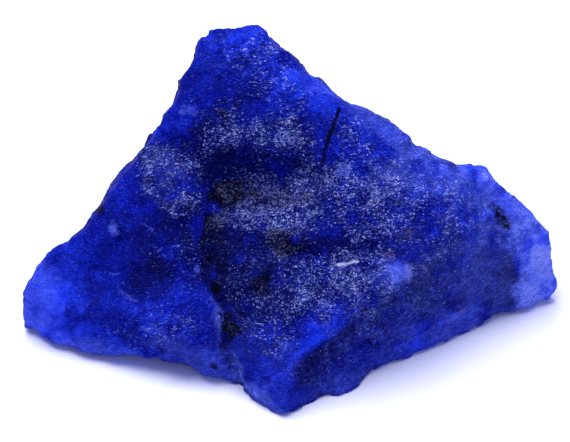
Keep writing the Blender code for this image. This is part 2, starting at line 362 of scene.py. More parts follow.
# %% Place the darker and the brighter blue, with the painted shade and light
# Painted shade: the scoop wall and its two ends, the valley down to the nose, the nose's left hollow and
# its shaded side, below the ledge, and the patches on the right wall and its top, which face away from the
# light. Painted light: the lobe's tip and the nose's bright tip on the lit side, the rims and crests on the
# right, the right end's outer edge and the foot of the right wall, where light comes through thin stone,
# and a painted highlight on the ridge corner lump. The other patches make the blue darker or brighter.
TONES_SHADE_AND_LIGHT = {
    "peak's right facet": (3, 29.5, 13, 6, -38, 0.3),
    "peak's left flank": (-14, 29, 5, 10, 20, -0.1),
    "peak's brow": (-5, 36.5, 12, 5, 5, 0.45),
    "dark patch on the peak": (-7.8, 29, 9, 4, 5, -0.3),
    "peak's middle": (-3, 31, 9, 6, 0, 0.3),
    "nose's blue side": (4.4, -4.4, 7, 4, 45, 0.25),
    "foot of the shoulder": (-15.8, 11.5, 7, 5, -15, 0.3),
    "upper right rim": (8, 26, 6, 2.5, -35, 0.2),
    "scoop wall": (-7, 19.5, 20, 9, 0, -0.5),
    "scoop wall's deep left": (-10.5, 18, 9, 6, -10, -0.2),
    "scoop wall's right end": (1.5, 18, 9, 4.5, 10, -0.35),
    "valley down to the nose": (-8.5, 6, 5, 18, 0, -0.5),
    "nose's left hollow": (-4, 2, 9, 9, 0, -0.4),
    "nose's lower left": (-6.5, -5, 5, 12, 10, -0.35),
    "nose's bright tip": (-2, -11, 5, 12, 20, 0.2),
    "below the ledge": (2, 1, 15, 9, 0, -0.5),
    "nose's right face": (5, -3.5, 10, 5, 45, 0.5),
    "nose's left top": (-3, -2.5, 8, 6, 20, -0.25),
    "nose's shaded side": (4.2, -9.5, 8, 4, 60, -0.3),
    "left of the valley": (-12, 6, 5, 10, 0, -0.2),
    "under the scoop's left": (-11.5, 21.5, 5, 5, 0, -0.4),
    "wall's top": (17, 1.2, 11, 5, 20, -0.25),
    "left crest under the peak": (-12, 21.8, 8, 7, 0, -0.45),
    "front as a whole": (6, 6, 30, 22, 0, -0.08),
    "crest on the right": (28.5, 16.5, 7, 5, -30, 0.25),
    "plateau above the wall": (18.5, 11.7, 7, 6, 0, 0.12),
    "right end's upper edge": (33, 11.5, 6, 6, 0, -0.15),
    "peak's right cheek": (1.5, 27, 9, 5, -30, 0.3),
    "right wall near the nose": (9, -9.5, 16, 8, 40, -0.3),
    "right wall's far half": (22, 1, 16, 9, 25, -0.22),
    "foot of the right wall": (18, -7.5, 20, 4.5, 30, 0.4),
    "lobe's upper face": (-31, 3, 14, 8, 30, 0.2),
    "lobe's tip": (-35.8, -2.4, 9, 11, 0, 0.5),
    "lobe's foot": (-27, -7.5, 18, 4, -12, 0.3),
    "lobe's dark middle": (-21, 6, 13, 12, 0, -0.35),
    "shoulder": (-17, 13, 8, 13, -15, -0.25),
    "under the shoulder": (-19, 10, 10, 8, 0, -0.2),
    "by the pale fleck": (-26.5, 12, 5, 4, 0, -0.25),
    "lobe's front": (-17, -4, 14, 7, 0, 0.15),
    "middle of the front": (-1, 12, 23, 9, 0, -0.6),
    "ledge band": (6, 7.2, 14, 3.2, 0, -0.5),
    "upper right band": (14, 21.5, 16, 6, -35, 0.2),
    "right plateau": (27, 14, 14, 8, -10, 0.28),
    "right crest's rim": (34, 8, 5, 14, 25, 0.5),
    "wall's grey end": (30.2, 2, 5, 13, 5, -0.4),
    "right end's outer edge": (37, 5, 4, 14, 10, 0.8),
    "ridge corner lump": (15.2, 3, 4, 4.4, 0, 0.3),
    "wall beside the ridge corner": (18.8, 2.6, 2.6, 4, 20, -0.3),
    "crest above the right plateau": (29, 17.5, 11, 3, -28, 0.55),
    "under the smooth strip": (-4, 7, 14, 5, 0, -0.35),
    "wall's upper middle": (18.5, 1.2, 6, 5, 0, -0.28),
    "wall's lower middle": (23.5, -3, 6, 4, 30, -0.15),
    "nose's left side": (-6.5, 1.5, 5, 5, 0, -0.1),
}
CRISP_TONES = {
    "right end's dark border": (31.6, 1.6, 2.6, 9, 8, -0.6),
    "strip low on the right end": (33.6, 0.4, 3, 6, 10, -0.8),
    "blue corner of the right end": (38, 0.6, 4.6, 3, 35, 0.5),
}
# A painted highlight runs along the nose's ridge, and painted shade along the ridge's shaded side.
NOSE_RIDGE_HIGHLIGHT = ((9.6, -2.3), (7, -5.1), (5.6, -6.1), (3, -7.6), (0.4, -9.2), (-0.1, -11))
RIDGE_SHADE = ((11, -2.4), (8.6, -5), (6.4, -7), (3.6, -8.8), (1.9, -10.2), (1.4, -12.5))
print("patches of darker or brighter blue:", len(TONES_SHADE_AND_LIGHT) + len(CRISP_TONES))

# %% [markdown]
# ## Frost and soot
#
# Frost is where the broken grains are rough, and where their glints are painted into the colour
# as light strokes. It lies in bands and fields, and between them the stone is smooth, so a few
# patches take frost away. Soot stands for the black inclusions. Most are spots along the valley
# and the scoop's floor, and one is a thin black line under the peak. Along the crack, the black
# is partly painted shade in the cleft.

# %% Place the frost and its painted glints
FROST_AND_GLINT_PATCHES = {
    "band at the scoop's lip, left": (-8.5, 24.3, 9, 5, -5, 0.58),
    "band at the scoop's lip, right": (0.5, 24.3, 9, 5, 5, 0.5),
    "right of the scoop": (3, 19.5, 8, 6, -30, 0.35),
    "peak's glinting brow": (-6, 34, 9, 3.6, 5, 0.4),
    "peak's right glints": (-2, 29.8, 8, 4, -20, 0.4),
    "peak as a whole": (-5, 31, 22, 14, -30, 0.1),
    "peak's smooth right cheek": (4, 26.3, 6, 5, -40, -0.2),
    "scoop wall": (-6, 19, 18, 8, 0, 0.2),
    "light spot by the black line": (7.8, 17.3, 4, 3, 10, 0.4),
    "left shoulder": (-17.2, 17.4, 8, 8, -15, 0.68),
    "under the black line": (9, 21.6, 6, 5, 0, 0.28),
    "under the left shoulder": (-16.5, 10.8, 7, 5, -15, -0.35),
    "peak's right rim": (0.5, 31, 9, 3.5, -45, 0.25),
    "peak's top": (-3, 36.5, 6, 3, -30, 0.4),
    "scoop floor": (-4, 13.5, 17, 6, 0, 0.75),
    "middle plateau": (6.5, 13, 20, 9, 5, 0.46),
    "plateau's right": (18, 14, 15, 10, 0, 0.28),
    "plateau's right middle": (18.8, 12, 5, 4, 0, 0.2),
    "right of the black line": (8.3, 23.5, 3.5, 4.5, -20, 0.3),
    "far plateau": (25.5, 13, 9, 8, 0, 0.3),
    "upper right": (14, 20, 20, 8, -35, 0.22),
    "under the scoop": (-3, 9.5, 14, 5, 0, 0.5),
    "nose and valley": (1, 2, 22, 13, 5, 0.4),
    "nose top": (8, 2.4, 12, 6, 5, 0.42),
    "nose middle": (6.5, -2, 10, 5, 35, 0.1),
    "nose left": (-4.5, -3.5, 8, 9, 10, 0.34),
    "nose tip's glints": (-0.5, -7, 7, 8, 0, 0.14),
    "wall's glints": (17.5, 8.2, 16, 5, 8, 0.3),
    "right wall": (16, -1, 26, 12, 32, 0.25),
    "right end": (30, 8, 14, 12, 0, 0.15),
    "lobe front glints": (-18, -5.5, 12, 5, 5, 0.45),
    "crack's left": (-15, 7, 7, 9, 0, 0.4),
    "smooth strip under the scoop floor": (-6.5, 8.6, 9, 2.6, -8, -0.25),
    "smooth ledge band": (8, 7.2, 15, 2.0, 0, -0.15),
}
print("patches of frost:", len(FROST_AND_GLINT_PATCHES))

# %% Place the soot
SOOTS = {
    "left of the scoop floor": (-9.2, 13.8, 5, 3, 20, 0.6),
    "middle of the scoop floor": (-1, 13.6, 8, 2.6, 0, 0.5),
    "under the plateau": (0, 7.4, 7, 3, -10, 0.8),
    "nose's brown spot": (-4, 1.2, 4, 3.4, 0, 0.7),
    "nose's upper spot": (-2.5, 3, 2.5, 1.8, 0, 0.5),
    "valley's black top": (-8.5, 15, 6, 4, 0, 0.45),
    "beside the crack, high": (-10.3, 7, 3.2, 10, 5, 0.6),
    "in the crack": (-10.6, 1, 1.6, 4, 40, 0.8),
    "crack's black dots": (-8.3, -4.8, 2.2, 5, 0, 0.6),
    "right of the crack": (-7, -3.5, 3.5, 5, 0, 0.3),
    "spot by the ridge corner": (14.8, 5.9, 3, 1.6, 0, 0.55),
    "spot on the right": (16.8, 8.6, 2.4, 2, 0, 0.45),
    "right end's patch": (30.2, 11.3, 2, 4, 25, 0.85),
    "left crest's mark": (-27, 12, 1.6, 2, 50, 0.9),
    "left crest's lower mark": (-30, 8, 1.6, 1.6, 0, 0.8),
    "dot on the under facet": (-10.5, -10.1, 1.1, 0.9, 0, 0.9),
    "black above the scoop": (-9.3, 25.6, 3.5, 1.2, -20, 0.6),
}
BLACK_LINE = ((7.3, 26.4), (6.2, 23.8), (5.2, 20.5), (4.9, 18.7))
print("patches of soot:", len(SOOTS))

# %% [markdown]
# ## Milk, veils and small marks
#
# Milk is partly the stone's own pale cloud and partly painted light: the pale glow where light
# comes through thin edges, the rims on the right and the right end, where one facet has a crisp
# border. A veil is a small whitish spot or scratch near the surface, and the rosy marks are a touch
# of warmer colour. The walls are where the stone broke across its grain, so the fibres there slant.

# %% Place the milk and the painted glow
# Painted glow of light through thin stone: the lobe's tip, the rims and crests on the right, the right end
# and the foot of the right wall. Painted highlight: the ridge corner. Dust: the wall's dust.
MILK_AND_GLOW_PATCHES = {
    "lobe's tip": (-36.4, -1.5, 6, 11, -10, 0.36),
    "lobe's foot": (-27, -8.3, 13, 3, -12, 0.3),
    "right third": (27, 5, 22, 22, 0, 0.07),
    "right end's upper edge": (33, 11.5, 6, 6, 0, 0.12),
    "peak's right rim": (3.2, 31.8, 6, 4, -45, 0.1),
    "right end's outer edge": (37, 5, 3.4, 14, 10, 0.75),
    "left shoulder": (-17.3, 16.8, 5, 6, -15, 0.1),
    "pale patch low on the right end": (35, 0.4, 2.6, 4.6, 60, 0.2),
    "right end, high": (35, 8.4, 5, 5, 0, 0.35),
    "foot of the wall, right": (25.5, -4, 8, 3, 28, 0.25),
    "right crest": (31, 12, 7, 12, 35, 0.35),
    "upper right crest": (14, 23.5, 20, 2.5, -35, 0.35),
    "crest above the right plateau": (29, 17.5, 11, 3, -28, 0.3),
    "far plateau": (22, 16, 16, 6, -10, 0.2),
    "wall's dust": (19, -1, 20, 7, 30, 0.06),
    "wall's grey end": (29, 3, 7, 15, 5, 0.14),
    "foot of the right wall": (15, -9, 20, 4, 30, 0.1),
    "under facet": (-11.5, -10, 13, 4, -25, 0.3),
    "nose's left strip": (-4.2, -14.2, 9, 1.6, -40, 0.5),
    "strip under the crack": (-7.6, -9.6, 5, 1.3, -62, 0.3),
    "ridge corner": (15.4, 3, 3.2, 3.6, 0, 0.2),
}
# Painted glow on the right end facet, with a crisp border.
CRISP_MILK_AND_GLOW = {
    "right end facet": (36.4, 1.8, 7.4, 12, -8, 0.82),
    "blue corner of the right end": (38, 0.6, 4.6, 3, 35, -0.45),
    "pale foot of the right end": (35.4, -0.6, 3.6, 4.6, 20, 0.5),
}
print("patches of milk:", len(MILK_AND_GLOW_PATCHES) + len(CRISP_MILK_AND_GLOW))

# %% Place the veils and the small marks
SCRATCHES = (
    ((-20.8, 10.1), (-20, 9.7), (-19.2, 9)),
    ((-18.7, 6), (-18.3, 6.3), (-17.8, 6.5)),
    ((-24.2, 1.2), (-23.6, 0.2), (-22.6, -0.6), (-21.6, -1)),
    ((-21, -4.6), (-19.6, -5.2), (-18.2, -6.2)),
    ((-16, -3), (-15, -3.6), (-14.6, -4.8)),
    ((-26, 3.2), (-25, 2.8), (-24, 3)),
)
VEILS = {
    "wisp low on the lobe": (-23.2, -0.2, 4, 1.3, -25, 0.3),
    "wisp near the lobe's foot": (-19, -5.3, 6, 2, -20, 0.4),
    # A painted highlight on the raised ridge corner.
    "ridge corner": (15.7, 3.4, 3, 3.4, 0, 0.85),
    "pale fleck": (-25, 9.2, 1.6, 2.6, 10, 1.0),
    "light spot by the black line": (7.8, 17.5, 2.4, 1.8, 10, 1.0),
    "lip's crest": (-10, -3, 1.1, 6, 20, 0.7),
    "bump by the crack": (-12.8, 3.6, 1.6, 1.6, 0, 0.9),
    "spot on the left edge": (-13.8, 26.2, 3.4, 1.8, 0, 0.6),
}
ROSES = {
    "ridge corner's edge": (17.1, 3.3, 0.6, 1.8, 15, 0.7),
    "pinkish spot": (25, -2.4, 0.7, 0.8, 0, 0.7),
    "rust by the ridge corner": (14.4, 5.7, 1.6, 0.9, 0, 0.2),
    "rust on the right": (17, 8.6, 1.2, 0.9, 0, 0.15),
}
WALLS = {
    "right wall near the nose": (8, -9, 16, 10, 40, 1.0),
    "right wall": (19, -1, 22, 11, 28, 1.0),
    "right end": (33, 3, 12, 16, 0, 1.0),
}
FLECK_LEFT = ((7.1, 4.35), (8.3, 4.4))
FLECK_RIGHT = ((8.7, 4.5), (9.8, 4.55))
print("small marks:", len(SCRATCHES) + len(VEILS) + len(ROSES))

# %% [markdown]
# ## From patches to measures
#
# Each measure is worked out once for every point and kept as an attribute, which both the relief
# and the material read. The noises alone could be worked out in the material, but the patches need
# the rays. The photo doesn't show the back, so broad noises in the same range make the tone,
# the frost and the soot there. Thin edges let light through, so one measure says how near the far
# side is. A ray from each point into the stone finds it.

# %% Say how ragged and how soft the patches are
# How ragged the edge of each kind of patch is, and how soft.
EDGES = {
    "tone": (0.7, 0.9),
    "crisp tone": (0.3, 0.3),
    "frost_and_glints": (0.6, 1.3),
    "soot": (0.9, 0.9),
    "milk_and_glow": (0.9, 0.9),
    "crisp milk": (0.25, 0.3),
    "veil": (0.9, 0.9),
    "rose": (0.8, 0.9),
    "wall": (0.7, 0.9),
}


def measure(places, patches, kind):
    """The sum of these patches, each with its strength last."""
    ragged, soft = EDGES[kind]
    total = np.zeros(len(places.points))
    for across, up, long, wide, turn, strength in patches.values():
        total = total + strength * places.patch(across, up, long, wide, turn, ragged, soft)
    return total


print("kinds of patches:", ", ".join(EDGES))

# %% Measure the blue and the frost
TONE_BROAD = 0.18
BACK_TONE_DRIFT = 1.3
BACK_TONE_BROAD = 0.5
BACK_DARKER = 0.1
# The width and strength of the painted highlight along the nose's ridge, and of the painted shade beside
# it.
RIDGE_WIDE = 0.8
RIDGE_HIGHLIGHT_STRENGTH = 0.35
RIDGE_SHADE_WIDE = 1.6
RIDGE_SHADE_STRENGTH = 0.4
RIDGE_RAGGED = 0.6
BACK_FROST = 0.15
BACK_FROST_SPREAD = 1.2
BACK_FROST_SPOTS = 0.3
BACK_FROST_RANGE = (-0.1, 0.6)


def tone_at(places, back, drift):
    """How bright the blue is, from -1 for navy to 1 for ultramarine, painted shade and light included."""
    tone = measure(places, TONES_SHADE_AND_LIGHT, "tone") + TONE_BROAD * places.broad
    tone = tone + back * (BACK_TONE_DRIFT * drift + BACK_TONE_BROAD * places.broad - BACK_DARKER)
    tone = tone + measure(places, CRISP_TONES, "crisp tone")
    # Painted highlight along the nose's ridge, and painted shade beside it.
    tone = tone + RIDGE_HIGHLIGHT_STRENGTH * places.line(NOSE_RIDGE_HIGHLIGHT, RIDGE_WIDE, RIDGE_RAGGED)
    tone = tone - RIDGE_SHADE_STRENGTH * places.line(RIDGE_SHADE, RIDGE_SHADE_WIDE, RIDGE_RAGGED)
    return np.clip(tone, -1, 1)


def frost_and_glints_at(places, back, drift, spots):
    """How thick the rough grains and their painted glints lie, from 0 to 1."""
    patchy = np.clip(drift + BACK_FROST_SPOTS * spots, *BACK_FROST_RANGE)
    frost_and_glints = measure(places, FROST_AND_GLINT_PATCHES, "frost_and_glints") + back * (BACK_FROST + BACK_FROST_SPREAD * patchy)
    return np.clip(frost_and_glints, 0, 1)


print("the frost on the back is", BACK_FROST, "and up to", BACK_FROST_SPREAD * BACK_FROST_RANGE[1], "more")

# %% Measure the soot, the milk and the veils
BACK_SOOT_LEVEL = 0.46
BACK_SOOT_SHARP = 5
BACK_SOOT_MOST = 0.8
BLACK_LINE_WIDE = 0.55
BLACK_LINE_RAGGED = 0.25
# Black along the crack is partly soot and partly painted shade in the cleft.
CRACK_SHADE_AND_SOOT = CRACK[3:]
CRACK_SHADE_WIDE = 0.6
CRACK_SHADE_RAGGED = 1.2
CRACK_SHADE_STRENGTH = 0.55
SCRATCH_WIDE = 0.35
SCRATCH_RAGGED = 0.9
SCRATCH_STRENGTH = 0.8
FLECK_WIDE = 0.45


def soot_at(places, back, spots):
    """How black the stone is with inclusions, and with painted shade in the crack, from 0 to 1."""
    soot = measure(places, SOOTS, "soot") * (1 - back)
    soot = soot + back * np.clip((spots - BACK_SOOT_LEVEL) * BACK_SOOT_SHARP, 0, BACK_SOOT_MOST)
    soot = np.maximum(soot, places.line(BLACK_LINE, BLACK_LINE_WIDE, BLACK_LINE_RAGGED))
    # Painted shade down the crack, mixed with its soot.
    crack = places.line(CRACK_SHADE_AND_SOOT, CRACK_SHADE_WIDE, CRACK_SHADE_RAGGED)
    return np.clip(np.maximum(soot, crack * CRACK_SHADE_STRENGTH), 0, 1)


def milk_and_glow_at(places):
    """How milky the stone is, with the painted glow at thin edges and rims, from 0 to 2."""
    milk_and_glow = measure(places, MILK_AND_GLOW_PATCHES, "milk_and_glow") + measure(places, CRISP_MILK_AND_GLOW, "crisp milk")
    return np.clip(milk_and_glow, 0, 2)


def veil_at(places):
    """How much of a whitish spot or scratch there is, with a painted highlight on the ridge corner, from 0
    to 1.
    """
    veil = measure(places, VEILS, "veil")
    for route in SCRATCHES:
        veil = np.maximum(veil, SCRATCH_STRENGTH * places.line(route, SCRATCH_WIDE, SCRATCH_RAGGED))
    return np.clip(veil, 0, 1)


def fleck_at(places):
    """Where the small pale fleck lies, which is in two halves."""
    return np.maximum(places.line(FLECK_LEFT, FLECK_WIDE), places.line(FLECK_RIGHT, FLECK_WIDE))


print("the crack is sooty along", len(CRACK_SHADE_AND_SOOT), "of its", len(CRACK), "points")

# %% Measure how thin the stone is
THIN_SKIP = 0.6
THIN_REACH = 5


def thinness(piece):
    """How near the far side is behind each point: 1 at a sharp edge, 0 where the stone is thick."""
    points = values_of(piece, "co")
    normals = values_of(piece, "normal")
    shape = tree_of(piece)
    found = np.zeros(len(points))
    for index in range(len(points)):
        inward = -Vector(normals[index])
        start = Vector(points[index]) + inward * THIN_SKIP * MM
        away = shape.ray_cast(start, inward)[3]
        found[index] = math.exp(-(away or 0) / (THIN_REACH * MM))
    return found


print("where the far side is", THIN_REACH, "mm away, the thinness is", round(math.exp(-1), 2))

# %% Keep the measures on the stone
TURN_SHARP = 2.5
BACK_BEFORE_EDGE = 0.4


def measures_of(piece):
    places = Places(piece)
    facing = values_of(piece, "normal") @ -np.array(SIGHT)
    back = np.clip(BACK_BEFORE_EDGE - TURN_SHARP * facing, 0, 1)
    drift = wobble(places.points, "drift")
    spots = wobble(places.points, "spots")
    return {
        "tone": tone_at(places, back, drift),
        "frost_and_glints": frost_and_glints_at(places, back, drift, spots),
        "soot": soot_at(places, back, spots),
        "milk_and_glow": milk_and_glow_at(places),
        "veil": veil_at(places),
        "fleck": fleck_at(places),
        "rose": np.clip(measure(places, ROSES, "rose"), 0, 1),
        "wall": np.clip(measure(places, WALLS, "wall"), 0, 1),
        "unseen": np.clip(-TURN_SHARP * facing, 0, 1),
        "thin": thinness(piece),
    }


def store(piece, name, values):
    attribute = piece.data.attributes.new(name, "FLOAT", "POINT")
    attribute.data.foreach_set("value", np.asarray(values, np.float32))


for name, values in measures_of(stone).items():
    store(stone, name, values)
    print(name, "runs from", round(float(values.min()), 2), "to", round(float(values.max()), 2))

# %% [markdown]
# ## Break up the surface with Geometry Nodes
#
# A fresh break in such a stone is made of flat chips, with sharp little ridges between them and
# sugary grains all over. Bump in the material could only fake that, and the outline would stay
# smooth. So a Geometry Nodes group moves each point along its normal, by a height made of broad
# swells, tilted chips of two sizes (a Voronoi cell is a plane with its own slope), ridges and
# grains. Frosted places get more of the chips, ridges and grains, and the sides that the photo
# doesn't show get more of the chips. The group's inputs are named, so it can be used on another
# stone. It also keeps a number picked by chance for each chip, as the measure "plane".

# %% Make a helper that adds nodes
# The middle of a noise that runs from 0 to 1.
MIDDLE = 0.5


class Tree:
    """A small helper that adds nodes and links them in one call."""

    def __init__(self, made):
        self.made = made

    def add(self, kind, inputs=(), **settings):
        node = self.made.nodes.new(kind)
        for key, value in settings.items():
            setattr(node, key, value)
        for key, value in dict(inputs).items():
            if isinstance(value, bpy.types.NodeSocket):
                self.made.links.new(value, node.inputs[key])
            else:
                node.inputs[key].default_value = value
        return node

    def math(self, operation, a, b=0.0, c=0.0):
        return self.add("ShaderNodeMath", {0: a, 1: b, 2: c}, operation=operation).outputs[0]

    def off_middle(self, value):
        """How far a noise from 0 to 1 lies above or below its middle."""
        return self.math("SUBTRACT", value, MIDDLE)

    def vector(self, operation, a, b):
        node = self.add("ShaderNodeVectorMath", {0: a, 1: b}, operation=operation)
        return node.outputs["Value" if operation == "DOT_PRODUCT" else "Vector"]

    def scaled(self, vector, scale):
        node = self.add("ShaderNodeVectorMath", {0: vector, "Scale": scale}, operation="SCALE")
        return node.outputs["Vector"]

    def noise(self, vector, size, detail, roughness=0.5):
        """A noise whose forms are about this many millimetres wide."""
        inputs = {"Vector": vector, "Scale": 1 / size, "Detail": detail, "Roughness": roughness}
        return self.add("ShaderNodeTexNoise", inputs)

    def cells(self, vector, size):
        return self.add("ShaderNodeTexVoronoi", {"Vector": vector, "Scale": 1 / size})

    def ramp(self, value, low, high, to_low=0.0, to_high=1.0):
        inputs = {"Value": value, 1: low, 2: high, 3: to_low, 4: to_high}
        return self.add("ShaderNodeMapRange", inputs, clamp=True).outputs[0]

    def mixed(self, share, a, b):
        """The colour a, with this share of the colour b."""
        return self.add("ShaderNodeMix", {0: share, 6: a, 7: b}, data_type="RGBA").outputs[2]


print("the helper adds a node, and links or sets its inputs, in one call")

# %% Work out the relief's height
# The sizes of the forms are in millimetres.
SWELL_SIZE = 6
BEND_SIZE = 4
BEND_REACH = 2.0
CHIP_SIZE = 3.0
FINE_CHIP_SIZE = 1.1
RIDGE_SIZE = 2.2
RIDGE_LEVEL = 0.1
GRAIN_SIZE = 0.75
CHIP_PLAIN = 0.7
CHIP_FROSTED = 0.5
CHIP_UNSEEN = 1.6
FINE_CHIP_UNSEEN = 0.5


def named_measure(t, name):
    return t.add("GeometryNodeInputNamedAttribute", {"Name": name}, data_type="FLOAT").outputs[0]


def chip_height(t, place, chips):
    """The height on a tilted chip: each cell is a plane, and its colour is the plane's slope."""
    from_middle = t.vector("SUBTRACT", place, chips.outputs["Position"])
    slope = t.vector("SUBTRACT", chips.outputs["Color"], (MIDDLE, MIDDLE, MIDDLE))
    return t.vector("DOT_PRODUCT", from_middle, slope)


def add_chips(t, height, given, bent, chips):
    """The height with the chips of both sizes on it."""
    frost_and_glints = named_measure(t, "frost_and_glints")
    unseen = named_measure(t, "unseen")
    plain = t.math("MULTIPLY_ADD", frost_and_glints, CHIP_FROSTED, CHIP_PLAIN)
    share = t.math("ADD", plain, t.math("MULTIPLY", unseen, CHIP_UNSEEN))
    chip = t.math("MULTIPLY", chip_height(t, bent, chips), share)
    height = t.math("MULTIPLY_ADD", chip, given["Chip"], height)
    fine = chip_height(t, bent, t.cells(bent, FINE_CHIP_SIZE))
    fine = t.math("MULTIPLY", fine, t.math("MULTIPLY_ADD", unseen, FINE_CHIP_UNSEEN, frost_and_glints))
    return t.math("MULTIPLY_ADD", fine, given["Chip"], height)


def add_roughness(t, height, given, place, bent):
    """The height with the ridges and the grains on it."""
    rough = t.math("MULTIPLY_ADD", named_measure(t, "frost_and_glints"), given["Frost"], 1.0)
    ridge = t.math("ABSOLUTE", t.off_middle(t.noise(bent, RIDGE_SIZE, 3).outputs[0]))
    ridge = t.math("MULTIPLY", t.math("SUBTRACT", RIDGE_LEVEL, ridge), rough)
    grain = t.math("MULTIPLY", t.off_middle(t.noise(place, GRAIN_SIZE, 1).outputs[0]), rough)
    height = t.math("MULTIPLY_ADD", ridge, given["Ridge"], height)
    return t.math("MULTIPLY_ADD", grain, given["Grain"], height)


print("the chips are", CHIP_SIZE, "and", FINE_CHIP_SIZE, "mm wide")

# %% Build the relief group
# The first four are heights in millimetres. Frost says how much rougher the frosted places are,
# and another seed gives another pattern.
RELIEF = {"Swell": 1.0, "Chip": 0.34, "Ridge": 0.12, "Grain": 0.08, "Frost": 4, "Seed": 4}


def add_sockets(group):
    face = group.interface
    for way in ("OUTPUT", "INPUT"):
        face.new_socket("Geometry", in_out=way, socket_type="NodeSocketGeometry")
    for name, value in RELIEF.items():
        socket = face.new_socket(name, in_out="INPUT", socket_type="NodeSocketFloat")
        socket.default_value = value
    face.new_socket("Material", in_out="INPUT", socket_type="NodeSocketMaterial")


def make_relief_group():
    group = bpy.data.node_groups.new("broken stone relief", "GeometryNodeTree")
    add_sockets(group)
    t = Tree(group)
    given = t.add("NodeGroupInput").outputs
    place = t.scaled(t.add("GeometryNodeInputPosition").outputs[0], 1 / MM)
    place = t.vector("ADD", place, t.add("ShaderNodeCombineXYZ", {"X": given["Seed"]}).outputs[0])
    bend = t.noise(place, BEND_SIZE, 2).outputs["Color"]
    bent = t.vector("ADD", place, t.scaled(bend, BEND_REACH))
    chips = t.cells(bent, CHIP_SIZE)
    swell = t.off_middle(t.noise(place, SWELL_SIZE, 3).outputs[0])
    height = t.math("MULTIPLY", swell, given["Swell"])
    height = add_chips(t, height, given, bent, chips)
    height = add_roughness(t, height, given, place, bent)
    normal = t.add("GeometryNodeInputNormal").outputs[0]
    offset = t.scaled(normal, t.math("MULTIPLY", height, MM))
    moved = t.add("GeometryNodeSetPosition", {"Geometry": given["Geometry"], "Offset": offset})
    # The chip's slope across, picked by chance, is kept as plane; the material paints light and shade on
    # the chips from it.
    chance = t.add("ShaderNodeSeparateXYZ", {0: chips.outputs["Color"]}).outputs[0]
    named = {"Geometry": moved.outputs[0], "Name": "plane", "Value": chance}
    kept = t.add("GeometryNodeStoreNamedAttribute", named, data_type="FLOAT", domain="POINT")
    real = t.add("GeometryNodeRealizeInstances", {0: kept.outputs[0]}).outputs[0]
    painted = t.add("GeometryNodeSetMaterial", {"Geometry": real, "Material": given["Material"]})
    t.add("NodeGroupOutput", {"Geometry": painted.outputs[0]})
    return group


relief_group = make_relief_group()
print("the relief group has", len(relief_group.nodes), "nodes")

# %% [markdown]
# ## Run the group and set the foot down
#
# The group's result is softened by two steps, because a voxel grid makes the chips' edges jagged.
# The foot of the real stone stands close to the floor, and the smoothing left small overhangs
# there, which would throw a wide shadow. So the lowest part is drawn down along the line of sight,
# where the move doesn't show in the photo's view, and nothing goes below the floor.

# %% Break up the stone
RELIEF_SMOOTHING = 2
# How far the foot is drawn down, in millimetres, at places along the stone's length.
FOOT_SINK = (
    (-34, 1.7), (-24, 0.7), (-12, 0.3), (-7, 0.8), (-2, 1.0),
    (4, 0.6), (12, 0.2), (26, 0.4), (33, 1.6), (38, 2.6),
)
FOOT_HIGH = 5


def break_up(piece, material):
    step = piece.modifiers.new("relief", "NODES")
    step.node_group = relief_group
    sockets = {item.name: item.identifier for item in relief_group.interface.items_tree}
    for name, amount in RELIEF.items():
        step[sockets[name]] = float(amount)
    step[sockets["Material"]] = material
    add_smoothing(piece, RELIEF_SMOOTHING)
    settle(piece)


def set_foot_down(piece):
    points = values_of(piece, "co")
    sink = np.interp(points[:, 0] / MM, *zip(*FOOT_SINK))
    sink = sink * np.clip(1 - points[:, 2] / (FOOT_HIGH * MM), 0, 1)
    points += np.array(SIGHT) * sink[:, None] * MM
    points[:, 2] = np.maximum(points[:, 2], 0)
    put_points(piece, points)


stone_material = bpy.data.materials.new("blue sugary stone")
break_up(stone, stone_material)
set_foot_down(stone)
print("after the relief:", len(stone.data.vertices), "points")

# %% [markdown]
# ## The stone's colours and strokes
#
# Close up, the stone's glints aren't dots. They are short strokes that follow a bent flow, as
# the edges of long grains do, and here they are painted into the colour as light strokes. A dot
# pattern is easy to make, but it looks like dust. The middle line of a noise is a thin winding
# thread instead, and a second noise cuts it into strokes. Each noise is read at places that are
# drawn out along the flow, so the strokes lie along it.

# %% Name the colours
NAVY = (0.0006, 0.001, 0.055, 1)
ROYAL = (0.0015, 0.005, 0.23, 1)
ULTRAMARINE = (0.008, 0.04, 0.72, 1)
# The colours of the painted glints: dim, bright, near white and sandy on soot. The near white is also the
# pale fleck's own colour.
DIM_PAINTED_GLINT = (0.022, 0.045, 0.33, 1)
PAINTED_GLINT = (0.46, 0.53, 0.98, 1)
BRIGHT_GLINT_AND_FLECK = (0.80, 0.84, 1.0, 1)
SANDY_GLINT = (0.30, 0.28, 0.36, 1)
ROSE = (0.24, 0.18, 0.50, 1)
BLACK = (0.001, 0.001, 0.006, 1)
# The blue of the milk, which is also the painted glow of light through thin stone.
MILK_AND_GLOW_BLUE = (0.125, 0.185, 0.82, 1)
PALE = (0.27, 0.33, 0.86, 1)
print("the ground runs from", NAVY[:3], "over", ROYAL[:3], "to", ULTRAMARINE[:3])

# %% Cut strokes from noises
STROKE_LINE = (0.015, 0.05, 1, 0)
STROKE_GAP = (0.0, 0.12)


def strokes(t, shape, gap, level):
    """Short thin strokes: the middle line of one noise, kept where another is above a level."""
    line = t.ramp(t.math("ABSOLUTE", t.off_middle(shape)), *STROKE_LINE)
    return t.math("MULTIPLY", line, t.ramp(t.math("SUBTRACT", gap, level), *STROKE_GAP))


def drawn_out(t, place, direction, share):
    """Places squeezed along one direction, so that a noise read there is drawn out along it."""
    along = t.vector("DOT_PRODUCT", place, direction)
    return t.vector("SUBTRACT", place, t.scaled(direction, t.math("MULTIPLY", along, share)))


print("a stroke is the band within", STROKE_LINE[1], "of a noise's middle")

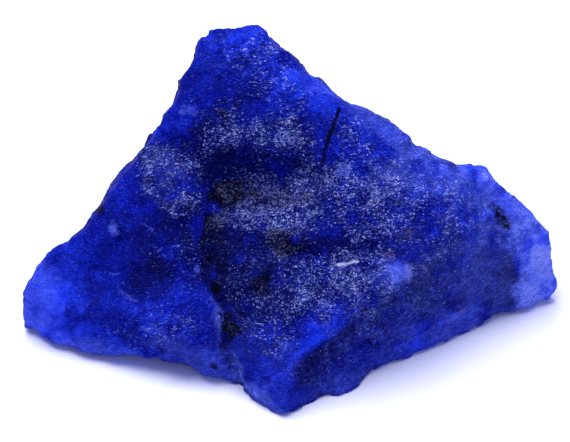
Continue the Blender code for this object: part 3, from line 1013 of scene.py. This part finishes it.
# %% Name the noises in the material
# Each noise's size in millimetres, its detail and its roughness.
PATTERNS = {
    "cloud": (2.4, 4, 0.6),
    "clump": (2.2, 3, 0.6),
    "patchy": (0.9, 2, 0.6),
    "blot": (0.7, 4, 0.8),
    "lying": (0.7, 3, 0.7),
    "slanted": (0.5, 3, 0.7),
    "gap": (0.28, 2, 0.6),
    "hair": (0.22, 2, 0.7),
    "fine": (0.2, 2, 0.5),
    "worm": (0.2, 2, 0.6),
    "thread": (0.17, 2, 0.6),
}
FLOW_BEND_SIZE = 5
FLOW_BEND_REACH = 2.3
FLOW_WAY = (1, 0, 0)
FLOW_SHARE = 0.5
LYING_SQUEEZE = (0.45, 1, 1)
SLANTED_WAY = (0.87, 0.35, 0.35)
SLANTED_SHARE = 0.6
HAIR_SHARE = 0.68


def patterns_on(t, place):
    """The noises that the material is mixed from, each read at its own bent or drawn-out places."""
    bend = t.scaled(t.noise(place, FLOW_BEND_SIZE, 1).outputs["Color"], FLOW_BEND_REACH)
    flow = drawn_out(t, t.vector("ADD", place, bend), FLOW_WAY, FLOW_SHARE)
    where = {
        "lying": t.vector("MULTIPLY", place, LYING_SQUEEZE),
        "slanted": drawn_out(t, place, SLANTED_WAY, SLANTED_SHARE),
        "hair": drawn_out(t, place, SLANTED_WAY, HAIR_SHARE),
        "gap": flow,
        "fine": flow,
        "worm": flow,
        "thread": flow,
    }
    return {name: t.noise(where.get(name, place), *form).outputs[0] for name, form in PATTERNS.items()}


print("the material is mixed from", len(PATTERNS), "noises")

# %% [markdown]
# ## Mix the ground
#
# The ground is the stone without its painted glints. Its blue runs from navy over royal blue to
# a bright ultramarine with the tone, which holds painted shade and light, and clouds, chips with
# painted light and shade by their slope, slanting fibres on the walls and dim threads make the tone
# uneven. Milk, veils and thin edges turn it paler, partly as a painted glow. They are mixed by amount
# and not laid over each other, so that the palest stone still shows the fibres. Soot turns it
# black in frayed blots.

# %% Mix the tone
# A ramp's four values are where it starts and ends, and what it gives there.
CLOUD_BY_FROST = (0, 0.5, 0.35, 1)
PATCHY_BY_FROST = (0, 0.5, 0.6, 1)
SLANT_STRENGTH = 1.9
LIVELY = 1.65
LIVELY_BY_TONE = (0.1, 0.8, 1, 0.72)
THREAD_LEVEL = 0.46
THREAD_STRENGTH = 0.3
CHIP_PAINTED_SHADING = 0.4
FROST_DARKENS = -0.42
NAVY_TO_ROYAL = (-0.75, 0.05)
ROYAL_TO_BRIGHT = (0.05, 0.8)


def mixed_tone(t, read, seen):
    """The stone's tone with all its unevenness, painted light and shade on the chips included."""
    frost_and_glints = read["frost_and_glints"]
    tone = t.math("MULTIPLY_ADD", t.off_middle(seen["cloud"]), t.ramp(frost_and_glints, *CLOUD_BY_FROST), read["tone"])
    tone = t.math("MULTIPLY_ADD", t.off_middle(seen["patchy"]), t.ramp(frost_and_glints, *PATCHY_BY_FROST), tone)
    slant = t.math("MULTIPLY", t.off_middle(seen["slanted"]), read["wall"])
    tone = t.math("MULTIPLY_ADD", slant, SLANT_STRENGTH, tone)
    lively = t.math("MULTIPLY", t.math("ADD", frost_and_glints, LIVELY), t.ramp(tone, *LIVELY_BY_TONE))
    tone = t.math("MULTIPLY_ADD", t.off_middle(seen["fine"]), lively, tone)
    threads = strokes(t, seen["thread"], seen["gap"], THREAD_LEVEL)
    tone = t.math("MULTIPLY_ADD", threads, THREAD_STRENGTH, tone)
    # Painted light and shade on the chips, by each chip's slope across.
    tone = t.math("MULTIPLY_ADD", t.off_middle(read["plane"]), CHIP_PAINTED_SHADING, tone)
    return t.math("MULTIPLY_ADD", frost_and_glints, FROST_DARKENS, tone)


def blue_of(t, tone):
    blue = t.mixed(t.ramp(tone, *NAVY_TO_ROYAL), NAVY, ROYAL)
    return t.mixed(t.ramp(tone, *ROYAL_TO_BRIGHT), blue, ULTRAMARINE)


print("frost darkens the ground between its strokes by", -FROST_DARKENS)

# %% Mix the milk
BLOT_STRENGTH = 2.2
HARDLY_ANY = (0.05, 0.3)
VEIL_CUT = (0.3, 1.2)
SOOT_CUT = (0.25, 0.9)
# Thin edges get a painted glow, as if light came through them.
THIN_EDGE_GLOW = 0.22
MILK_BY_FIBRE = (0.3, 0.7, 0.3, 1.3)
MILK_BY_FINE = (0.35, 0.65, 0.65, 1.3)
WISP_BY_FIBRE = (0.5, 0.75)
WISP_BY_TONE = (-0.2, 0.7)
WISP_MILK = 0.12
VEIL_MILK = 0.6
HAIR_CUT = (0.5, 0.72)
HAIR_BY_CLUMP = (0.35, 0.6)
HAIR_MILK = 0.65


def blotted(t, amount, seen, cut):
    """The amount broken into blots, and none where there is hardly any of it."""
    blot = t.math("MULTIPLY", t.off_middle(seen["blot"]), BLOT_STRENGTH)
    broken = t.ramp(t.math("ADD", amount, blot), *cut)
    return t.math("MULTIPLY", broken, t.ramp(amount, *HARDLY_ANY))


def mixed_milk_and_glow(t, read, seen, tone):
    """How milky the stone is, with the painted glow at the thin edges, and the wisps, veils and hair in it.
    """
    slanting = t.math("SUBTRACT", seen["slanted"], seen["lying"])
    fibre = t.math("MULTIPLY_ADD", slanting, read["wall"], seen["lying"])
    milk_and_glow = t.math("ADD", read["milk_and_glow"], t.math("MULTIPLY", read["thin"], THIN_EDGE_GLOW))
    milk_and_glow = t.math("MULTIPLY", milk_and_glow, t.ramp(fibre, *MILK_BY_FIBRE))
    milk_and_glow = t.math("MULTIPLY", milk_and_glow, t.ramp(seen["fine"], *MILK_BY_FINE))
    wisp = t.math("MULTIPLY", t.ramp(fibre, *WISP_BY_FIBRE), t.ramp(tone, *WISP_BY_TONE))
    milk_and_glow = t.math("MULTIPLY_ADD", wisp, WISP_MILK, milk_and_glow)
    veil = blotted(t, read["veil"], seen, VEIL_CUT)
    milk_and_glow = t.math("ADD", milk_and_glow, t.math("MULTIPLY", veil, VEIL_MILK))
    hair = t.math("MULTIPLY", t.ramp(seen["hair"], *HAIR_CUT), t.ramp(seen["clump"], *HAIR_BY_CLUMP))
    return t.math("MULTIPLY_ADD", t.math("MULTIPLY", hair, read["wall"]), HAIR_MILK, milk_and_glow)


print("a thin edge is", THIN_EDGE_GLOW, "milkier than thick stone")

# %% Mix the ground
PALE_BY_MILK = (0.75, 1.7, 0, 0.9)


def mixed_ground(t, read, seen):
    """The colour of the stone without its painted glints."""
    tone = mixed_tone(t, read, seen)
    milk_and_glow = mixed_milk_and_glow(t, read, seen, tone)
    ground = t.mixed(t.math("MINIMUM", milk_and_glow, 1.0), blue_of(t, tone), MILK_AND_GLOW_BLUE)
    ground = t.mixed(t.ramp(milk_and_glow, *PALE_BY_MILK), ground, PALE)
    return t.mixed(blotted(t, read["soot"], seen, SOOT_CUT), ground, BLACK)


print("the palest milk starts at", PALE_BY_MILK[0])

# %% [markdown]
# ## Lay the glints over the ground
# Two sets of painted glints lie over the ground as light strokes: dim ones nearly everywhere, and
# bright ones where the frost is. The level that cuts them drops as the frost rises, so there are
# more of them, and a clumping noise gathers them. Each stroke's brightness is picked by chance,
# a few are near white, and those on soot are few and sandy. The same noises feed the bump, so the
# grains also catch a little real light when the stone or the light turns.

# %% Lay the painted glints
FROST_BY_CLUMP = (0.36, 0.6, 0.72, 1.12)
DIM_LEVEL = (0, 0.8, 0.54, 0.33)
DIM_BY_SOOT = (0.1, 0.7, 0.66, 0.1)
GRAIN_LEVEL = (0, 1, 0.66, 0.36)
GRAIN_BY_SOOT = (0.1, 0.7, 1, 0.35)
PICK_SIZE = 0.33
BRIGHT_BY_CHANCE = (0.2, 0.9)
SAND_BY_SOOT = (0.05, 0.5)
SAND_BY_CHANCE = (0.55, 0.65)
SPARK_BY_CHANCE = (0.93, 0.99)
SPARK_BY_TONE = (-0.6, 0.2, 0.35, 1)


def painted_glint_colour(t, read, place):
    """The colour of each painted glint, picked by chance."""
    pick = t.cells(place, PICK_SIZE).outputs["Color"]
    chance = t.add("ShaderNodeSeparateColor", {0: pick}).outputs
    speck = t.mixed(t.ramp(chance[1], *BRIGHT_BY_CHANCE), DIM_PAINTED_GLINT, PAINTED_GLINT)
    sandy = t.math("MULTIPLY", t.ramp(read["soot"], *SAND_BY_SOOT), t.ramp(chance[2], *SAND_BY_CHANCE))
    speck = t.mixed(sandy, speck, SANDY_GLINT)
    spark = t.math("MULTIPLY", t.ramp(chance[0], *SPARK_BY_CHANCE), t.ramp(read["tone"], *SPARK_BY_TONE))
    return t.mixed(spark, speck, BRIGHT_GLINT_AND_FLECK)


def with_painted_glints(t, read, seen, place, ground):
    """The ground with the dim and the bright painted glints over it."""
    frost_and_glints = t.math("MULTIPLY", read["frost_and_glints"], t.ramp(seen["clump"], *FROST_BY_CLUMP))
    dim = strokes(t, seen["thread"], seen["gap"], t.ramp(frost_and_glints, *DIM_LEVEL))
    dim = t.math("MULTIPLY", dim, t.ramp(read["soot"], *DIM_BY_SOOT))
    grain = strokes(t, seen["worm"], seen["gap"], t.ramp(frost_and_glints, *GRAIN_LEVEL))
    grain = t.math("MULTIPLY", grain, t.ramp(read["soot"], *GRAIN_BY_SOOT))
    return t.mixed(grain, t.mixed(dim, ground, DIM_PAINTED_GLINT), painted_glint_colour(t, read, place))


print("a stroke changes its brightness about every", PICK_SIZE, "mm")

# %% Build the material
READ = ("tone", "frost_and_glints", "soot", "milk_and_glow", "veil", "fleck", "thin", "plane", "rose", "wall")
ROSE_BY_FINE = (0.35, 0.6)
FLECK_CUT = (0.3, 0.9, 0, 0.45)
FINE_BUMP = 0.5
BUMP_STRENGTH = 0.7
BUMP_HIGH = 0.35
ROUGHNESS = 0.5
SPECULAR = 0.02
GLOW = 0.15
GLOW_REACH = (0.15, 0.25, 0.9)


def add_shader(t, colour, bump):
    """The stone's shader: hardly any gloss, and a little light that passes under the surface."""
    shader = t.add("ShaderNodeBsdfPrincipled", {"Base Color": colour, "Normal": bump})
    shader.inputs["Roughness"].default_value = ROUGHNESS
    shader.inputs["Specular IOR Level"].default_value = SPECULAR
    shader.inputs["Subsurface Weight"].default_value = GLOW
    shader.inputs["Subsurface Radius"].default_value = GLOW_REACH
    shader.inputs["Subsurface Scale"].default_value = MM
    t.add("ShaderNodeOutputMaterial", {"Surface": shader.outputs[0]})


def build_stone_material(material):
    material.use_nodes = True
    material.node_tree.nodes.clear()
    t = Tree(material.node_tree)
    place = t.scaled(t.add("ShaderNodeTexCoord").outputs["Object"], 1 / MM)
    read = {name: t.add("ShaderNodeAttribute", attribute_name=name).outputs["Fac"] for name in READ}
    seen = patterns_on(t, place)
    colour = with_painted_glints(t, read, seen, place, mixed_ground(t, read, seen))
    rosy = t.math("MULTIPLY", read["rose"], t.ramp(seen["fine"], *ROSE_BY_FINE))
    colour = t.mixed(rosy, colour, ROSE)
    colour = t.mixed(t.ramp(read["fleck"], *FLECK_CUT), colour, BRIGHT_GLINT_AND_FLECK)
    height = t.math("MULTIPLY_ADD", seen["fine"], FINE_BUMP, seen["worm"])
    bumped = {"Height": height, "Strength": BUMP_STRENGTH, "Distance": BUMP_HIGH * MM}
    add_shader(t, colour, t.add("ShaderNodeBump", bumped).outputs[0])


build_stone_material(stone_material)
stone.data.shade_smooth()
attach(stone, "root")
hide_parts(NODE)
print("the material has", len(stone_material.node_tree.nodes), "nodes")

# %% [markdown]
# ## Floor and light
#
# The stone lies on nearly white paper in soft light. A large soft key light hangs above, a little
# behind and to the left of the stone, and a dim bluish fill stands in front. A key light alone
# would leave the shadow grey. The blue surround fills it instead, and together with the light
# that the stone throws on the floor it turns the shadow purple blue, as in the photo.

# %% Lay the floor
FLOOR_SIZE = 3
FLOOR_COLOUR = (0.86, 0.88, 0.92, 1)
FLOOR_ROUGHNESS = 0.9


def make_floor():
    shape = bmesh.new()
    bmesh.ops.create_grid(shape, x_segments=1, y_segments=1, size=FLOOR_SIZE)
    mesh = bpy.data.meshes.new("floor")
    shape.to_mesh(mesh)
    shape.free()
    floor = bpy.data.objects.new("floor", mesh)
    bpy.context.scene.collection.objects.link(floor)
    material = bpy.data.materials.new("white paper")
    material.use_nodes = True
    shader = material.node_tree.nodes["Principled BSDF"]
    shader.inputs["Base Color"].default_value = FLOOR_COLOUR
    shader.inputs["Roughness"].default_value = FLOOR_ROUGHNESS
    mesh.materials.append(material)


make_floor()
print("the floor reaches", FLOOR_SIZE, "m each way")

# %% Hang the lights
# Each light's place and size are in metres, and its power is in watts.
LIGHTS = {
    "key": {"where": (-0.14, 0.2, 0.78), "size": 0.7, "power": 10.8, "colour": (1, 1, 0.94)},
    "front fill": {"where": (0.3, -0.6, 0.5), "size": 0.6, "power": 0.7, "colour": (0.55, 0.6, 1)},
}
SURROUND_COLOUR = (0.34, 0.36, 1.0, 1)
SURROUND_STRENGTH = 0.64


def make_light(name, where, size, power, colour):
    lamp = bpy.data.lights.new(name, "AREA")
    lamp.size = size
    lamp.energy = power
    lamp.color = colour
    light = bpy.data.objects.new(name, lamp)
    light.location = where
    light.rotation_mode = "QUATERNION"
    light.rotation_quaternion = (-Vector(where)).to_track_quat("-Z", "Y")
    bpy.context.scene.collection.objects.link(light)


def make_surround():
    world = bpy.data.worlds.new("surround")
    bpy.context.scene.world = world
    world.use_nodes = True
    background = world.node_tree.nodes["Background"]
    background.inputs["Color"].default_value = SURROUND_COLOUR
    background.inputs["Strength"].default_value = SURROUND_STRENGTH


for name, light in LIGHTS.items():
    make_light(name, **light)
make_surround()
bpy.context.scene.view_settings.view_transform = "Standard"
print("lights:", ", ".join(LIGHTS))

# %% [markdown]
# ## Finish

# %% Finish
print("finished")
